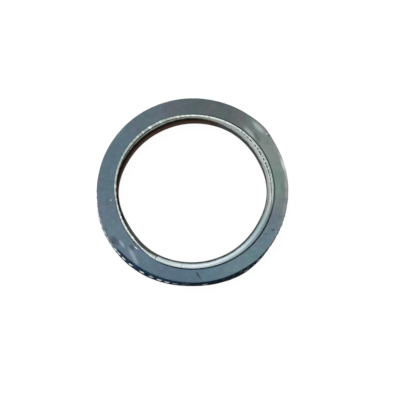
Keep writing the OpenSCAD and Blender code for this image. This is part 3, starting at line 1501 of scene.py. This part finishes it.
        # Black up near the lip and brown lower down: painted shade, with a warm painted reflection in the
        # brown
        lump = 0.5 + 0.5 * wander(place, self.lumps_mm)
        deep = rise(s.throat_high + self.black, s.throat_high + self.brown, place.z)
        share = deep * (self.brown_share + self.brown_lumps * lump)
        brown_shade = blend(linear(self.brown_shade[0]), linear(self.brown_shade[1]), share)
        grey_shade = blend(linear(self.grey_shade[0]), linear(self.grey_shade[1]), lump)
        return blend(grey_shade, brown_shade, sector(angle, *self.brown_shade_at))

    def paint(self, place: Vector, normal: Vector) -> Skin:
        """Gives the tone and the bareness of the sleeve at a point.

        Args:
            place: Point on the sleeve.
            normal: Outward direction there, which the sleeve doesn't need.

        Returns:
            The tone and the bareness.
        """
        s = self.sizes
        angle = bearing(place)
        r = place.xy.length - self.off_bore(place.xy.length, angle)
        lift = math.degrees(math.atan2(place.z - s.throat_high, max(s.centre_r - r, self.least)))
        # The painted shade on the bore reaches up the lip's curve to this line
        line = self.shade_line.at(angle) + self.shade_stray * ripple(angle, self.shade_waves, (9.0, 0.0))
        unshaded = rise(line - self.fade, line + self.fade, lift)
        drift = ripple(angle, self.tone_waves, (1.0, 0.0)) + 0.6 * wander(place, self.drift_mm)
        # Painted light and shade by angle on the lip, and painted shade on its crown
        crown = self.crown_shade_tone + (1 - self.crown_shade_tone) * rise(*self.crown_shade_at, lift)
        steel = tuple(band * (1 + self.drift_depth * drift) * crown for band in self.steel.at(angle))
        for seam in self.seams:
            steel = blend(steel, linear(self.seam_tone), self.seam_shade * seam.share(angle))
        return blend(self.bore_shade(place, angle), steel, unshaded), self.shade_bare + self.steel_bare * unshaded

    def build(self) -> bpy.types.Object:
        """Builds and dresses the sleeve.

        Returns:
            The piece.
        """
        s = self.sizes
        inner = s.bore_r + s.sheet
        corners = [
            (s.lip_edge_r, 0), (s.bore_r, 0), (s.bore_r, s.sleeve_h), (s.lip_edge_r, s.sleeve_h),
            (s.lip_edge_r, s.sleeve_h - s.sheet), (inner, s.sleeve_h - s.sheet), (inner, s.sheet),
            (s.lip_edge_r, s.sheet),
        ]
        inside = s.lip_round - s.sheet
        rounds = {1: s.lip_round, 2: s.lip_round, 5: inside, 6: inside}
        rounds.update({corner: self.eased for corner in (0, 3, 4, 7)})
        bm = self.turned(self.section(corners, rounds, segments=10, step=0.25 * MM))
        for vert in bm.verts:
            vert.co = self.slide(vert.co)
        bmesh.ops.recalc_face_normals(bm, faces=bm.faces)
        return self.dressed(bm, self.paint)


@dataclass
class Studio:
    """The pale floor, the soft lights and the camera.

    Attributes:
        sizes: Sizes of the gasket.
        tilt: Angle of the camera away from straight above, in degrees.
        distance: Distance of the camera from the ring's middle, in metres.
        focal_px: The camera's focal length in pixels of the picture.
        frame_px: Side of the picture in pixels.
        ring_px: Where the ring's middle lies in the picture, from its upper left corner.
    """

    sizes: GasketSizes
    tilt: float = 15.7
    distance: float = 0.250
    focal_px: float = 810.6
    frame_px: int = 400
    ring_px: Pair = (192.5, 188.6)
    # Half of the floor's side, and its tone for the light that it throws back
    floor_half: float = 1.5
    floor_tone: str = "#E8EAEA"
    # Light from all round
    ambient: float = 0.3
    # Grey of the card that keeps the soft shadow, and the light that makes it white in the picture
    card: Tuple[float, ...] = (0.12, 0.12, 0.12, 1)
    card_light: float = 0.95
    white: Tuple[float, ...] = (1, 1, 1, 1)

    def camera(self) -> None:
        """Sets the camera at the photograph's angle."""
        data = bpy.data.cameras.new("camera")
        data.lens = self.focal_px / self.frame_px * data.sensor_width
        data.clip_start, data.clip_end = 0.01, 10
        cam = add_object("camera", data)
        tilt = math.radians(self.tilt)
        back = Vector((0, -math.sin(tilt), math.cos(tilt)))
        up = Vector((0, math.cos(tilt), math.sin(tilt)))
        per_px = self.distance / self.focal_px
        aside = Vector((1, 0, 0)) * (self.frame_px / 2 - self.ring_px[0]) * per_px
        below = up * (self.ring_px[1] - self.frame_px / 2) * per_px
        cam.location = Vector((0, 0, self.sizes.ring_top)) + back * self.distance + aside + below
        cam.rotation_mode = "QUATERNION"
        cam.rotation_quaternion = (-back).to_track_quat("-Z", "Y")
        bpy.context.scene.camera = cam

    def lamp(self, name: str, place: Vector, size: float, power: float) -> None:
        """Hangs a square soft lamp that faces the gasket.

        Args:
            name: Name of the lamp.
            place: Where it hangs, in metres.
            size: Length of its side in metres.
            power: Power in watts.
        """
        data = bpy.data.lights.new(name, "AREA")
        data.shape = "SQUARE"
        data.size = size
        data.energy = power
        lamp = add_object(name, data)
        lamp.location = place
        lamp.rotation_mode = "QUATERNION"
        lamp.rotation_quaternion = (-place).to_track_quat("-Z", "Y")

    def seen(self, tree: bpy.types.NodeTree) -> bpy.types.NodeSocket:
        """Tells rays that show the surroundings from rays that light the object.

        Args:
            tree: Node tree of the floor or the world.

        Returns:
            A socket that is 1 for camera, glossy and transmission rays.
        """
        path = add_node(tree, "LightPath")
        gloss = add_node(tree, "Math", {"operation": "MAXIMUM"},
                         {0: path.outputs["Is Camera Ray"], 1: path.outputs["Is Glossy Ray"]})
        shown = add_node(tree, "Math", {"operation": "MAXIMUM"},
                         {0: gloss.outputs[0], 1: path.outputs["Is Transmission Ray"]})
        return shown.outputs[0]

    def floor(self) -> None:
        """Lays the pale floor, which shows white and keeps the soft shadow."""
        bm = bmesh.new()
        bmesh.ops.create_grid(bm, x_segments=8, y_segments=8, size=self.floor_half)
        mesh = bpy.data.meshes.new("floor")
        bm.to_mesh(mesh)
        bm.free()
        floor = add_object("floor", mesh)
        made = bpy.data.materials.new("white card")
        made.use_nodes = True
        tree = made.node_tree
        tree.nodes.clear()
        plain = add_node(tree, "BsdfDiffuse", {"in:Color": (*linear(self.floor_tone), 1)})
        card = add_node(tree, "BsdfDiffuse", {"in:Color": self.card})
        white = add_node(tree, "Emission", {"in:Strength": self.card_light})
        lifted = add_node(tree, "AddShader", links={0: card.outputs[0], 1: white.outputs[0]})
        mixed = add_node(tree, "MixShader",
                         links={0: self.seen(tree), 1: plain.outputs[0], 2: lifted.outputs[0]})
        add_node(tree, "OutputMaterial", links={0: mixed.outputs[0]})
        mesh.materials.append(made)

    def world(self) -> None:
        """Surrounds the scene with even white light."""
        world = bpy.data.worlds.new("studio")
        bpy.context.scene.world = world
        world.use_nodes = True
        tree = world.node_tree
        tree.nodes.clear()
        soft = add_node(tree, "Background", {"in:Strength": self.ambient})
        white = add_node(tree, "Background", {"in:Strength": 1.0, "in:Color": self.white})
        mixed = add_node(tree, "MixShader",
                         links={0: self.seen(tree), 1: soft.outputs[0], 2: white.outputs[0]})
        add_node(tree, "OutputWorld", links={0: mixed.outputs[0]})

    def build(self) -> None:
        """Sets up the camera, the floor, the world and the lamps."""
        self.camera()
        self.floor()
        self.world()
        self.lamp("key", Vector((-0.28, 0.26, 0.42)), size=0.6, power=1.6)
        self.lamp("fill", Vector((0.34, -0.20, 0.40)), size=0.4, power=0.5)
        bpy.context.scene.view_settings.view_transform = "Standard"


def main() -> None:
    """Builds the gasket's pieces and the studio round them."""
    logging.basicConfig(level=logging.INFO, format="%(asctime)s %(message)s")
    sizes = GasketSizes.from_frame(frame)
    Studio(sizes).build()
    for sub_assembly in (PressedRing, WallLoops, PressedEdge, LipLoops, RolledSleeve):
        sub_assembly(sizes).build()


if __name__ == "__main__":
    main()
